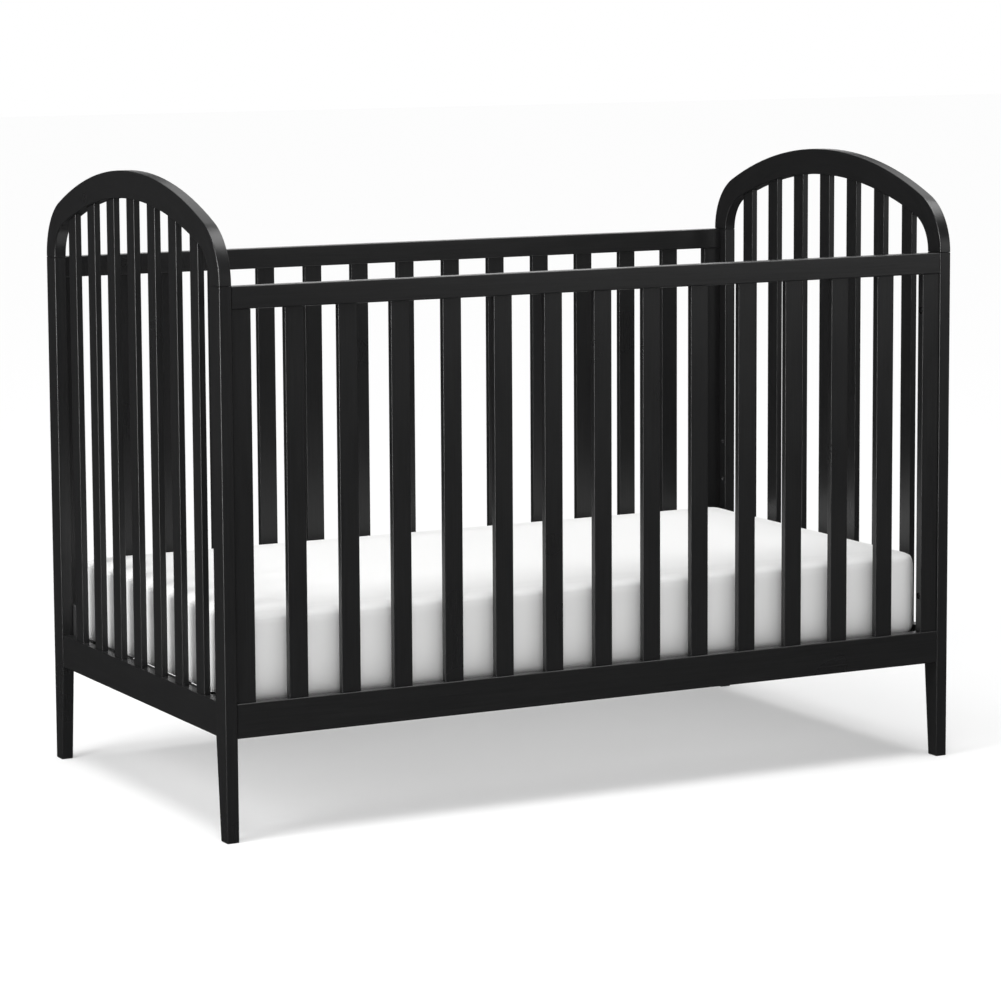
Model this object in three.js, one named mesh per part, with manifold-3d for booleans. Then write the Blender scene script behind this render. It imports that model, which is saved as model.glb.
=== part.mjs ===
// Full-size baby crib in black painted wood, with arched ends and flat slats on all four sides.
// Two end panels carry a front and a back panel, bolted to the posts along the crib's length.
// A steel spring support hangs inside on the posts, in one of four heights, and holds the mattress.
// Millimetres. X runs along the crib, Y from front to back, Z up, origin on the floor at the centre.
import * as THREE from "three";
import { mergeVertices } from "three/addons/utils/BufferGeometryUtils.js";
import Module from "manifold-3d";

// Inside of the crib: the standard opening for a full-size crib mattress.
const INTERIOR_LENGTH = 1330;
const INTERIOR_WIDTH = 711;
const GAP = 0.3; // play between pieces that touch
const OVERCUT = 1; // how far a cutting tool runs past the face that it opens

// End posts. The leg's inner side tapers from the underside of the rails to the foot.
const POST_THICK = 21; // along X
const POST_WIDTH = 40; // along Y
const FOOT_WIDTH = 26;
const SEAM_Z = 884; // where the arch stands on its posts

// Rails of the front and back panels, and the bottom rails of the ends.
const RAIL_THICK = 20;
const RAIL_INSET = 1; // the panels' faces lie this far inside the posts' faces
const RAIL_BOTTOM_Z = 167;
const BOTTOM_RAIL_HEIGHT = 56;
const TOP_RAIL_HEIGHT = 36;
const END_RAIL_THICK = 18;

// Arches: three arcs on each edge. The two corner arcs share their centres.
const CORNER_Z = 885;
const CORNER_RADIUS = 105;
const TOP_RADIUS_OUTER = 765;
const TOP_RADIUS_INNER = 792;
const ARC_STEPS = 10;

// Slats, and how deep they are let into the rails and the arches.
const SLAT_WIDTH = 33;
const PANEL_SLAT_THICK = 12;
const PANEL_SLATS = 13;
const END_SLAT_THICK = 11;
const END_SLATS = 7;
const HOUSING = 8;

// Stiles of the front and back panels, with the bolts that hold them to the posts.
const STILE_WIDTH = 33;
const STILE_THICK = 16;
const BOLT_FROM_RAIL = 63;
const BOLT_HOLE_RADIUS = 3.3;
const HEAD_HOLE_RADIUS = 6;
const HEAD_HOLE_DEPTH = 9;
const POST_BOLT_DEPTH = 14;

// Threaded holes in the posts for the mattress support: four heights.
const SUPPORT_LEVELS = 4;
const LEVEL_PITCH = 72;
const LOWEST_LEVEL_Z = 262;
const INSERT_RADIUS = 4.5;
const INSERT_DEPTH = 13;
const HOLE_SIDES = 10;

// Mattress support: angle bars, hanger plates at the corners, and a deck of welded wire.
const BAR_FLANGE = 35;
const BAR_THICK = 2;
const BAR_TOP_Z = 208;
const BAR_CLEARANCE = 4.5; // between the bars and the panels
const HANGER_THICK = 2.5;
const HANGER_WIDTH = 26;
const HANGER_TOP_Z = 276;
const HANGER_SHIFT = 5; // the plates' centres lie this far inside their bolts
const HANGER_STEP = 3; // the plates stop this far above the bars' lower edges
const WIRE = 4;
const WIRE_SINK = 2; // how far crossing wires are pressed into each other by the weld
const LONG_WIRES = 7;
const CROSS_WIRES = 14;
const DECK_OVERHANG = 18; // how far the wires reach over the bars

// Mattress: the standard full size.
const MATTRESS_LENGTH = 1311;
const MATTRESS_WIDTH = 692;
const MATTRESS_THICK = 145;
const MATTRESS_CORNER = 40;
const MATTRESS_EDGE = 14;
const MATTRESS_STEPS = 3; // facets across each rounded edge and corner

// Sizes that follow from those above.
const LENGTH = INTERIOR_LENGTH + 2 * POST_THICK;
const WIDTH = INTERIOR_WIDTH + 2 * (RAIL_THICK + RAIL_INSET);
const BOTTOM_RAIL_TOP = RAIL_BOTTOM_Z + BOTTOM_RAIL_HEIGHT;
const TOP_RAIL_BOTTOM = SEAM_Z - TOP_RAIL_HEIGHT;
const CORNER_Y = WIDTH / 2 - CORNER_RADIUS;
const INSERT_FROM_FACE = (RAIL_INSET + RAIL_THICK + POST_WIDTH) / 2;
const BOLT_FROM_FACE = RAIL_INSET + RAIL_THICK / 2;
const BOLT_LEVELS = [BOTTOM_RAIL_TOP + BOLT_FROM_RAIL, TOP_RAIL_BOTTOM - BOLT_FROM_RAIL];
const DECK_Z = BAR_TOP_Z + GAP;
const MATTRESS_Z = DECK_Z + 2 * WIRE - WIRE_SINK + GAP;

const blackPaint = new THREE.MeshStandardMaterial({ color: 0x1d1d1e, roughness: 0.45, metalness: 0 });
const blackSteel = new THREE.MeshStandardMaterial({ color: 0x2b2b2d, roughness: 0.4, metalness: 0.6 });
const springWire = new THREE.MeshStandardMaterial({ color: 0x242426, roughness: 0.35, metalness: 0.2 });
const whiteCover = new THREE.MeshStandardMaterial({ color: 0xf2f2f0, roughness: 0.85, metalness: 0 });

const wasm = await Module();
wasm.setup();

// Turns a closed three.js geometry into a solid that can be cut and joined.
function solidOf(geometry) {
  const bare = geometry.index ? geometry.toNonIndexed() : geometry.clone();
  bare.deleteAttribute("normal");
  bare.deleteAttribute("uv");
  const merged = mergeVertices(bare, 1e-3);
  const vertProperties = new Float32Array(merged.attributes.position.array);
  const triVerts = new Uint32Array(merged.index.array);
  return new wasm.Manifold(new wasm.Mesh({ numProp: 3, vertProperties, triVerts }));
}

// Turns a solid back into a flat-shaded three.js geometry.
function geometryOf(solid) {
  const { vertProperties, triVerts } = solid.getMesh();
  const indexed = new THREE.BufferGeometry();
  indexed.setAttribute("position", new THREE.BufferAttribute(vertProperties, 3));
  indexed.setIndex(new THREE.BufferAttribute(triVerts, 1));
  const flat = indexed.toNonIndexed();
  flat.computeVertexNormals();
  return flat;
}

// One solid out of several that overlap.
const joined = (geometries) => geometryOf(geometries.map(solidOf).reduce((sum, next) => sum.add(next)));

// A geometry less every tool.
function cut(geometry, tools) {
  return geometryOf(tools.map(solidOf).reduce((left, tool) => left.subtract(tool), solidOf(geometry)));
}

// Corners are moved to the nearest 1/16 mm, so that faces meant to be flush are exactly so when joined.
const snapped = (corner) => corner.map((value) => Math.round(value * 16) / 16);

// A box between two corners.
function block(low, high) {
  const [[x0, y0, z0], [x1, y1, z1]] = [snapped(low), snapped(high)];
  const box = new THREE.BoxGeometry(x1 - x0, y1 - y0, z1 - z0);
  return box.translate((x0 + x1) / 2, (y0 + y1) / 2, (z0 + z1) / 2);
}

// A round tool along X, from x0 to x1.
function drill(radius, x0, x1, y, z) {
  const tool = new THREE.CylinderGeometry(radius, radius, x1 - x0, HOLE_SIDES);
  return tool.rotateZ(Math.PI / 2).translate((x0 + x1) / 2, y, z);
}

// A board cut to an outline drawn in Y and Z, with its thickness centred on x = 0.
function board(outline, thick) {
  const options = { depth: thick, bevelEnabled: false, curveSegments: ARC_STEPS };
  const cutOut = new THREE.ExtrudeGeometry(outline, options).translate(0, 0, -thick / 2);
  const [x, y, z] = [new THREE.Vector3(1, 0, 0), new THREE.Vector3(0, 1, 0), new THREE.Vector3(0, 0, 1)];
  return cutOut.applyMatrix4(new THREE.Matrix4().makeBasis(y, z, x));
}

function named(name, geometry, material, [x, y, z] = [0, 0, 0]) {
  const mesh = new THREE.Mesh(geometry, material);
  mesh.name = name;
  mesh.position.set(x, y, z);
  return mesh;
}

// Centres of a row of slats, evenly spaced between two uprights that are span apart.
function slatCentres(count, span) {
  const pitch = (span - count * SLAT_WIDTH) / (count + 1) + SLAT_WIDTH;
  return Array.from({ length: count }, (_, i) => (i - (count - 1) / 2) * pitch);
}

const panelSlatXs = slatCentres(PANEL_SLATS, INTERIOR_LENGTH - 2 * STILE_WIDTH);
const endSlatYs = slatCentres(END_SLATS, WIDTH - 2 * POST_WIDTH);

// Height of the centre of the arc that crosses the crown and runs smoothly into both corner arcs.
const crownCentreZ = (crown, corner) => CORNER_Z - Math.sqrt((crown - corner) ** 2 - CORNER_Y ** 2);

// Height of the arch's lower edge at y, where y is under the crown arc.
function archUndersideZ(y) {
  const centre = crownCentreZ(TOP_RADIUS_INNER, CORNER_RADIUS - POST_WIDTH);
  return centre + Math.sqrt(TOP_RADIUS_INNER ** 2 - y ** 2);
}

const slatTopZ = (y) => archUndersideZ(Math.abs(y) - SLAT_WIDTH / 2) + HOUSING;

// Adds one edge of the arch to an outline: corner, crown, corner. It runs from +Y to -Y, or back.
function addArchEdge(path, crown, corner, towardsFront) {
  const centre = crownCentreZ(crown, corner);
  const turn = Math.atan2(CORNER_Z - centre, CORNER_Y);
  const arcs = [
    [CORNER_Y, CORNER_Z, corner, 0, turn],
    [0, centre, crown, turn, Math.PI - turn],
    [-CORNER_Y, CORNER_Z, corner, Math.PI - turn, Math.PI],
  ];
  if (towardsFront) arcs.forEach(([y, z, r, from, to]) => path.absarc(y, z, r, from, to, false));
  else arcs.reverse().forEach(([y, z, r, from, to]) => path.absarc(y, z, r, to, from, true));
}

function arch() {
  const outline = new THREE.Shape();
  outline.moveTo(WIDTH / 2 - POST_WIDTH, SEAM_Z + GAP);
  outline.lineTo(WIDTH / 2, SEAM_Z + GAP);
  addArchEdge(outline, TOP_RADIUS_OUTER, CORNER_RADIUS, true);
  outline.lineTo(-WIDTH / 2, SEAM_Z + GAP);
  outline.lineTo(POST_WIDTH - WIDTH / 2, SEAM_Z + GAP);
  addArchEdge(outline, TOP_RADIUS_INNER, CORNER_RADIUS - POST_WIDTH, false);
  const half = SLAT_WIDTH / 2 + GAP;
  const depth = END_SLAT_THICK / 2 + GAP;
  const housings = endSlatYs.map((y) =>
    block([-depth, y - half, SEAM_Z - OVERCUT], [depth, y + half, slatTopZ(y) + GAP]));
  return cut(board(outline, POST_THICK), housings);
}

// A post with its outer edge at y = 0. inwards is +1 for a front post and -1 for a back one.
function post(inwards) {
  const outline = new THREE.Shape();
  outline.moveTo(0, 0);
  outline.lineTo(inwards * FOOT_WIDTH, 0);
  outline.lineTo(inwards * POST_WIDTH, RAIL_BOTTOM_Z);
  outline.lineTo(inwards * POST_WIDTH, SEAM_Z);
  outline.lineTo(0, SEAM_Z);
  const face = POST_THICK / 2;
  const inserts = Array.from({ length: SUPPORT_LEVELS }, (_, i) =>
    drill(INSERT_RADIUS, face - INSERT_DEPTH, face + OVERCUT, inwards * INSERT_FROM_FACE,
      LOWEST_LEVEL_Z + i * LEVEL_PITCH));
  const bolts = BOLT_LEVELS.map((z) =>
    drill(BOLT_HOLE_RADIUS, face - POST_BOLT_DEPTH, face + OVERCUT, inwards * BOLT_FROM_FACE, z));
  return cut(board(outline, POST_THICK), [...inserts, ...bolts]);
}

function endRail() {
  const [x, y] = [END_RAIL_THICK / 2, WIDTH / 2 - POST_WIDTH - GAP];
  const half = SLAT_WIDTH / 2 + GAP;
  const depth = END_SLAT_THICK / 2 + GAP;
  const floor = BOTTOM_RAIL_TOP - HOUSING - GAP;
  const housings = endSlatYs.map((slatY) =>
    block([-depth, slatY - half, floor], [depth, slatY + half, BOTTOM_RAIL_TOP + OVERCUT]));
  return cut(block([-x, -y, RAIL_BOTTOM_Z], [x, y, BOTTOM_RAIL_TOP]), housings);
}

// One end of the crib, with its inner face towards +X. The right end is the left one turned round.
function endPanel(side, turned) {
  const panel = new THREE.Group();
  const [nearName, farName] = turned ? ["back", "front"] : ["front", "back"];
  panel.add(
    named(`${side}_arch`, arch(), blackPaint),
    named(`${side}_${nearName}_post`, post(1), blackPaint, [0, -WIDTH / 2, 0]),
    named(`${side}_${farName}_post`, post(-1), blackPaint, [0, WIDTH / 2, 0]),
    named(`${side}_bottom_rail`, endRail(), blackPaint),
  );
  endSlatYs.forEach((y, i) => {
    const [low, high] = [BOTTOM_RAIL_TOP - HOUSING, slatTopZ(y)];
    const slat = new THREE.BoxGeometry(END_SLAT_THICK, SLAT_WIDTH, high - low);
    const number = turned ? END_SLATS - i : i + 1;
    panel.add(named(`${side}_slat_${number}`, slat, blackPaint, [0, y, (low + high) / 2]));
  });
  panel.position.x = (turned ? 1 : -1) * (LENGTH - POST_THICK) / 2;
  panel.rotation.z = turned ? Math.PI : 0;
  return panel;
}

// A rail of the front or back panel. housingSide is +1 with the slats let in from above, -1 from below.
function panelRail(low, high, housingSide) {
  const [x, y] = [INTERIOR_LENGTH / 2 - GAP, RAIL_THICK / 2];
  const half = SLAT_WIDTH / 2 + GAP;
  const depth = PANEL_SLAT_THICK / 2 + GAP;
  const floor = housingSide > 0 ? high - HOUSING - GAP : low + HOUSING + GAP;
  const [from, to] = housingSide > 0 ? [floor, high + OVERCUT] : [low - OVERCUT, floor];
  const housings = panelSlatXs.map((slatX) =>
    block([slatX - half, -depth, from], [slatX + half, depth, to]));
  return cut(block([-x, -y, low], [x, y, high]), housings);
}

// A stile with its bolt holes. The bolts' heads sit in wider holes on the side away from the post.
function stile(postSide) {
  const height = TOP_RAIL_BOTTOM - BOTTOM_RAIL_TOP - 2 * GAP;
  const plain = new THREE.BoxGeometry(STILE_WIDTH, STILE_THICK, height);
  plain.translate(0, 0, (TOP_RAIL_BOTTOM + BOTTOM_RAIL_TOP) / 2);
  const [x, headX] = [STILE_WIDTH / 2 + OVERCUT, STILE_WIDTH / 2 - HEAD_HOLE_DEPTH];
  const [headFrom, headTo] = postSide > 0 ? [-x, -headX] : [headX, x];
  const holes = BOLT_LEVELS.flatMap((z) => [
    drill(BOLT_HOLE_RADIUS, -x, x, 0, z),
    drill(HEAD_HOLE_RADIUS, headFrom, headTo, 0, z),
  ]);
  return cut(plain, holes);
}

function slattedPanel(side, y) {
  const panel = new THREE.Group();
  const stileX = (INTERIOR_LENGTH - STILE_WIDTH) / 2 - GAP;
  panel.add(
    named(`${side}_top_rail`, panelRail(TOP_RAIL_BOTTOM, SEAM_Z, -1), blackPaint),
    named(`${side}_bottom_rail`, panelRail(RAIL_BOTTOM_Z, BOTTOM_RAIL_TOP, 1), blackPaint),
    named(`${side}_left_stile`, stile(-1), blackPaint, [-stileX, 0, 0]),
    named(`${side}_right_stile`, stile(1), blackPaint, [stileX, 0, 0]),
  );
  const [low, high] = [BOTTOM_RAIL_TOP - HOUSING, TOP_RAIL_BOTTOM + HOUSING];
  panelSlatXs.forEach((x, i) => {
    const slat = new THREE.BoxGeometry(SLAT_WIDTH, PANEL_SLAT_THICK, high - low);
    const number = String(i + 1).padStart(2, "0");
    panel.add(named(`${side}_slat_${number}`, slat, blackPaint, [x, 0, (low + high) / 2]));
  });
  panel.position.y = y;
  return panel;
}

// The steel frame: a ring of angle bar, and a hanger plate at each corner that bolts to a post.
function supportFrame() {
  // The bars' outer faces lie in the middle of the plates, so no two faces of the joint are flush.
  const [x, y] = [INTERIOR_LENGTH / 2 - GAP - HANGER_THICK / 2, INTERIOR_WIDTH / 2 - BAR_CLEARANCE];
  const low = BAR_TOP_Z - BAR_FLANGE;
  const centred = (inset, from, to) => block([inset - x, inset - y, from], [x - inset, y - inset, to]);
  const ring = cut(centred(0, low, BAR_TOP_Z), [
    centred(BAR_THICK, low - OVERCUT, BAR_TOP_Z - BAR_THICK),
    centred(BAR_FLANGE, low, BAR_TOP_Z + OVERCUT),
  ]);
  const plateY = WIDTH / 2 - INSERT_FROM_FACE - HANGER_SHIFT;
  const [plates, holes] = [[], []];
  for (const [sideX, sideY] of [[-1, -1], [-1, 1], [1, -1], [1, 1]]) {
    const plate = new THREE.BoxGeometry(HANGER_THICK, HANGER_WIDTH, HANGER_TOP_Z - low - HANGER_STEP);
    plates.push(plate.translate(sideX * x, sideY * plateY, (HANGER_TOP_Z + low + HANGER_STEP) / 2));
    const [from, to] = [sideX * x - HANGER_THICK, sideX * x + HANGER_THICK];
    holes.push(drill(BOLT_HOLE_RADIUS, from, to, sideY * (plateY + HANGER_SHIFT), LOWEST_LEVEL_Z));
  }
  return cut(joined([ring, ...plates]), holes);
}

// The deck: lengthwise wires with cross wires welded on top, all reaching over the bars.
function springDeck() {
  const x = INTERIOR_LENGTH / 2 - HANGER_THICK - BAR_FLANGE + DECK_OVERHANG;
  const y = INTERIOR_WIDTH / 2 - BAR_CLEARANCE - BAR_FLANGE + DECK_OVERHANG;
  const crossZ = DECK_Z + WIRE - WIRE_SINK;
  const place = (i, count, reach) => -reach + WIRE / 2 + (i * (2 * reach - WIRE)) / (count - 1);
  const wires = [];
  for (let i = 0; i < LONG_WIRES; i += 1) {
    const at = place(i, LONG_WIRES, y - DECK_OVERHANG - WIRE);
    wires.push(block([-x, at - WIRE / 2, DECK_Z], [x, at + WIRE / 2, DECK_Z + WIRE]));
  }
  for (let i = 0; i < CROSS_WIRES; i += 1) {
    const at = place(i, CROSS_WIRES, x - DECK_OVERHANG - WIRE);
    wires.push(block([at - WIRE / 2, -y, crossZ], [at + WIRE / 2, y, crossZ + WIRE]));
  }
  return joined(wires);
}

function mattress() {
  const [x, y] = [MATTRESS_LENGTH / 2 - MATTRESS_EDGE, MATTRESS_WIDTH / 2 - MATTRESS_EDGE];
  const r = MATTRESS_CORNER - MATTRESS_EDGE;
  const outline = new THREE.Shape();
  outline.moveTo(x, r - y);
  outline.absarc(x - r, y - r, r, 0, Math.PI / 2, false);
  outline.absarc(r - x, y - r, r, Math.PI / 2, Math.PI, false);
  outline.absarc(r - x, r - y, r, Math.PI, 1.5 * Math.PI, false);
  outline.absarc(x - r, r - y, r, 1.5 * Math.PI, 2 * Math.PI, false);
  const soft = new THREE.ExtrudeGeometry(outline, {
    depth: MATTRESS_THICK - 2 * MATTRESS_EDGE,
    bevelSize: MATTRESS_EDGE,
    bevelThickness: MATTRESS_EDGE,
    bevelSegments: MATTRESS_STEPS,
    curveSegments: MATTRESS_STEPS,
  });
  return geometryOf(solidOf(soft.translate(0, 0, MATTRESS_EDGE)));
}

const panelY = WIDTH / 2 - RAIL_INSET - RAIL_THICK / 2;
const crib = new THREE.Group();
crib.add(
  endPanel("left", false),
  endPanel("right", true),
  slattedPanel("front", -panelY),
  slattedPanel("back", panelY),
  named("support_frame", supportFrame(), blackSteel),
  named("spring_deck", springDeck(), springWire),
  named("mattress", mattress(), whiteCover, [0, 0, MATTRESS_Z]),
);

export default crib;
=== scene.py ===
"""A full-size baby crib in satin black paint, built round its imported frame.

Two ends with arched tops carry a front and a back panel of flat slats. A ring of steel angle with
a deck of wire hangs between the posts and holds the mattress. Metres, +Z up, crib along X.
"""

import logging
import math
from collections.abc import Iterable, Sequence
from dataclasses import dataclass, field
from enum import Enum

import bmesh
import bpy
from bmesh.types import BMEdge, BMesh, BMVert
from mathutils import Matrix, Vector


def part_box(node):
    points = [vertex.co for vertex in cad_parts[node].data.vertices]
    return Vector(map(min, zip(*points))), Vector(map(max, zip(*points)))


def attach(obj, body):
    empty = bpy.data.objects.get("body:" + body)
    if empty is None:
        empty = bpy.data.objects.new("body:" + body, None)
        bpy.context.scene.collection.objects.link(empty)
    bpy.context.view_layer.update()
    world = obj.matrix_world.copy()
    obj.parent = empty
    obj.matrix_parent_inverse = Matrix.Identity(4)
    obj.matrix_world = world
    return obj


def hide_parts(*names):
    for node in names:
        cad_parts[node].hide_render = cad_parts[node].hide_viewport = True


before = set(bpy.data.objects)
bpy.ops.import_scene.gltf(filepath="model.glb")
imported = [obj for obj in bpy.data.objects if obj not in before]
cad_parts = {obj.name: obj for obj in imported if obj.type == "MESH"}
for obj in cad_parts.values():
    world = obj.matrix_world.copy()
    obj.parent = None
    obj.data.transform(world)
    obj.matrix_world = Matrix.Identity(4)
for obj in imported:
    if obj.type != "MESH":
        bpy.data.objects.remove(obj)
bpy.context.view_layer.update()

LOG = logging.getLogger("crib")
FLUSH = 1e-5  # two places closer than this are the same
GAP = 0.0003  # play round a piece that is let into another
SHARP_ANGLE = math.radians(40)
AXIS_X, AXIS_Y, AXIS_Z = (Vector((1, 0, 0)), Vector((0, 1, 0)), Vector((0, 0, 1)))


class Body(Enum):
    """The bodies of the crib that move as one."""

    CRIB = "crib"
    SUPPORT = "mattress_support"
    MATTRESS = "mattress"


class Slot(Enum):
    """The finishes that the record names."""

    PAINT = "painted_wood"
    STEEL = "frame_steel"
    WIRE = "spring_wire"
    COVER = "mattress_cover"


class Grain(Enum):
    """Which way the grain of a board runs."""

    ALONG_X = "along_x"
    ALONG_Y = "along_y"
    ALONG_Z = "along_z"
    ROUND_THE_BOW = "round_the_bow"


# ---------------------------------------------------------------- finishes


class NodeBench:
    """A new material and the few steps that its nodes are put together with."""

    def __init__(self, name: str) -> None:
        """Makes a material that holds one Principled shader.

        Args:
            name: The material's name.
        """
        self.material = bpy.data.materials.new(name)
        self.material.use_nodes = True
        self.tree = self.material.node_tree
        self.shader = self.tree.nodes["Principled BSDF"]

    def add(self, kind: str, inputs: dict | None = None, **settings: object) -> bpy.types.Node:
        """Adds a node.

        Args:
            kind: Its type, less the leading ShaderNode.
            inputs: Socket name or number to a value, or to the output that feeds it.
            settings: The node's own properties.

        Returns:
            The node.
        """
        node = self.tree.nodes.new("ShaderNode" + kind)
        for key, value in settings.items():
            setattr(node, key, value)
        for key, value in (inputs or {}).items():
            self.feed(node.inputs[key], value)
        return node

    def feed(self, socket: bpy.types.NodeSocket, value: object) -> None:
        """Links an output to a socket, or sets the socket's own value."""
        if isinstance(value, bpy.types.NodeSocket):
            self.tree.links.new(value, socket)
        else:
            socket.default_value = value

    def place(self) -> bpy.types.NodeSocket:
        """The place on the piece, in metres."""
        return self.add("TexCoord").outputs["Object"]

    def noise(self, place: bpy.types.NodeSocket, scale: float, detail: float) -> bpy.types.NodeSocket:
        """Cloudy noise from 0 to 1.

        Args:
            place: The coordinates that it reads.
            scale: Clouds to a metre.
            detail: How many finer layers lie on it.

        Returns:
            Its value.
        """
        inputs = {"Vector": place, "Scale": scale, "Detail": detail, "Roughness": 0.55}
        return self.add("TexNoise", inputs).outputs["Fac"]

    def between(self, share: bpy.types.NodeSocket, low: float, high: float) -> bpy.types.NodeSocket:
        """A number from low to high as the middle of a noise goes by."""
        inputs = {"Value": share, "From Min": 0.3, "From Max": 0.7, "To Min": low, "To Max": high}
        return self.add("MapRange", inputs).outputs["Result"]

    def blend(self, share: bpy.types.NodeSocket, first: Sequence, second: Sequence) -> bpy.types.NodeSocket:
        """A colour between two, by a share."""
        mix = self.add("Mix", data_type="RGBA")
        self.feed(mix.inputs["Factor"], share)
        self.feed(mix.inputs[6], (*first, 1.0))
        self.feed(mix.inputs[7], (*second, 1.0))
        return mix.outputs[2]

    def bump(
        self, height: bpy.types.NodeSocket, strength: float, depth: float, under: object = None
    ) -> bpy.types.NodeSocket:
        """A bumpy normal.

        Args:
            height: The relief, from 0 to 1.
            strength: How much of it shows.
            depth: How deep 1 is, in metres.
            under: The normal of a coarser relief that this one lies on.

        Returns:
            The normal.
        """
        node = self.add("Bump", {"Height": height, "Strength": strength, "Distance": depth})
        if under is not None:
            self.feed(node.inputs["Normal"], under)
        return node.outputs["Normal"]

    def dress(self, **sockets: object) -> bpy.types.Material:
        """Sets the shader's sockets, named with underscores, and hands the material over."""
        for key, value in sockets.items():
            self.feed(self.shader.inputs[key.replace("_", " ")], value)
        return self.material


@dataclass(frozen=True)
class SatinPaint:
    """Satin black paint on close-grained wood, with the grain just showing through."""

    thin: tuple[float, float, float] = (0.0125, 0.0125, 0.0128)
    full: tuple[float, float, float] = (0.0085, 0.0085, 0.0088)
    roughness: tuple[float, float] = (0.27, 0.35)
    specular: float = 0.38
    fibres_across: float = 420.0  # to a metre
    fibres_along: float = 9.0
    bow_middle: float = 0.884  # height of the middle of the ellipse that the arch's grain follows
    bow_reach: tuple[float, float] = (0.376, 0.164)

    def material(self, grain: Grain) -> bpy.types.Material:
        """Makes the paint for boards whose grain runs one way.

        Args:
            grain: Which way it runs.

        Returns:
            The material.
        """
        bench = NodeBench(f"satin_paint_{grain.value}")
        place = bench.place()
        fibre = bench.noise(self.fibre_place(bench, place, grain), 1.0, 3.0)
        cloud = bench.noise(place, 7.0, 2.0)
        peel = bench.noise(place, 650.0, 1.0)
        grain_normal = bench.bump(fibre, 0.22, 0.0005)
        return bench.dress(
            Base_Color=bench.blend(bench.between(fibre, 0.0, 1.0), self.full, self.thin),
            Roughness=bench.between(cloud, *self.roughness),
            Normal=bench.bump(peel, 0.1, 0.0002, grain_normal),
            Specular_IOR_Level=self.specular,
        )

    def fibre_place(self, bench: NodeBench, place: bpy.types.NodeSocket, grain: Grain) -> bpy.types.NodeSocket:
        """Coordinates in which the fibres are as long as they are wide.

        Args:
            bench: The bench of the material that is being made.
            place: The place on the piece.
            grain: Which way the fibres run.

        Returns:
            The coordinates.
        """
        across, along = self.fibres_across, self.fibres_along
        if grain is not Grain.ROUND_THE_BOW:
            ways = [Grain.ALONG_X, Grain.ALONG_Y, Grain.ALONG_Z]
            scale = [along if grain is way else across for way in ways]
            return bench.add("Mapping", {"Vector": place, "Scale": scale}).outputs["Vector"]
        half_width, height = self.bow_reach
        centred = bench.add("Mapping", {"Vector": place, "Location": (0, 0, -self.bow_middle)})
        scale = (0, 1 / half_width, 1 / height)
        flat = bench.add("Mapping", {"Vector": centred.outputs["Vector"], "Scale": scale}).outputs["Vector"]
        parts = bench.add("SeparateXYZ", {"Vector": flat}).outputs
        turn = bench.add("Math", {0: parts["Z"], 1: parts["Y"]}, operation="ARCTAN2").outputs[0]
        reach = bench.add("VectorMath", {0: flat}, operation="LENGTH").outputs["Value"]
        depth = bench.add("SeparateXYZ", {"Vector": place}).outputs["X"]
        numbers = {"X": (depth, across), "Y": (turn, along * half_width), "Z": (reach, across * height * 1.5)}
        scaled = {
            key: bench.add("Math", {0: value, 1: times}, operation="MULTIPLY").outputs[0]
            for key, (value, times) in numbers.items()
        }
        return bench.add("CombineXYZ", scaled).outputs["Vector"]


@dataclass(frozen=True)
class PowderCoat:
    """Black powder coat on steel, with the fine dimples that it bakes to."""

    colour: tuple[float, float, float] = (0.022, 0.022, 0.023)
    worn: tuple[float, float, float] = (0.034, 0.034, 0.035)

    def material(self) -> bpy.types.Material:
        """Makes the material."""
        bench = NodeBench("powder_coat")
        place = bench.place()
        cloud = bench.noise(place, 18.0, 3.0)
        return bench.dress(
            Base_Color=bench.blend(bench.between(cloud, 0.0, 1.0), self.colour, self.worn),
            Roughness=bench.between(cloud, 0.46, 0.6),
            Normal=bench.bump(bench.noise(place, 1300.0, 1.0), 0.35, 0.0003),
        )


@dataclass(frozen=True)
class WireEnamel:
    """Black enamel on the deck's wires and the support's screws, glossier than the frame's coat."""

    full: tuple[float, float, float] = (0.018, 0.018, 0.019)
    thin: tuple[float, float, float] = (0.03, 0.029, 0.028)

    def material(self) -> bpy.types.Material:
        """Makes the material."""
        bench = NodeBench("wire_enamel")
        place = bench.place()
        cloud = bench.noise(place, 45.0, 3.0)
        return bench.dress(
            Base_Color=bench.blend(bench.between(cloud, 0.0, 1.0), self.full, self.thin),
            Roughness=bench.between(cloud, 0.28, 0.42),
            Normal=bench.bump(bench.noise(place, 700.0, 2.0), 0.15, 0.0002),
        )


@dataclass(frozen=True)
class WovenCover:
    """A smooth white cover in plain weave, with painted shade in the hollows between its threads."""

    thread: tuple[float, float, float] = (0.87, 0.87, 0.865)
    # painted shade: the darker colour of the weave's hollows, where the threads dip
    shaded_hollow: tuple[float, float, float] = (0.82, 0.82, 0.815)
    threads: float = 700.0  # to a metre, each way

    def material(self) -> bpy.types.Material:
        """Makes the material."""
        bench = NodeBench("woven_cover")
        place = bench.place()
        scale = self.threads * math.pi / 10  # a wave texture has 10 / pi bands to one unit
        waves = [
            bench.add("TexWave", {"Vector": place, "Scale": scale, "Distortion": 0.4, "Detail": 1.0},
                      bands_direction=way).outputs["Fac"]
            for way in "XYZ"
        ]
        pair = bench.add("Math", {0: waves[0], 1: waves[1]}, operation="ADD").outputs[0]
        weave = bench.add("Math", {0: pair, 1: waves[2]}, operation="ADD").outputs[0]
        share = bench.add("Math", {0: weave, 1: 1 / 3}, operation="MULTIPLY").outputs[0]
        slub = bench.noise(place, 60.0, 3.0)
        soft = bench.bump(slub, 0.12, 0.0012)
        return bench.dress(
            # the colour darkens where the weave's relief is low: painted shade in its hollows
            Base_Color=bench.blend(share, self.shaded_hollow, self.thread),
            Roughness=bench.between(slub, 0.84, 0.95),
            Normal=bench.bump(share, 0.25, 0.0003, soft),
            Sheen_Weight=0.12,
            Sheen_Roughness=0.5,
            Specular_IOR_Level=0.25,
        )


# ---------------------------------------------------------------- workshop


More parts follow.
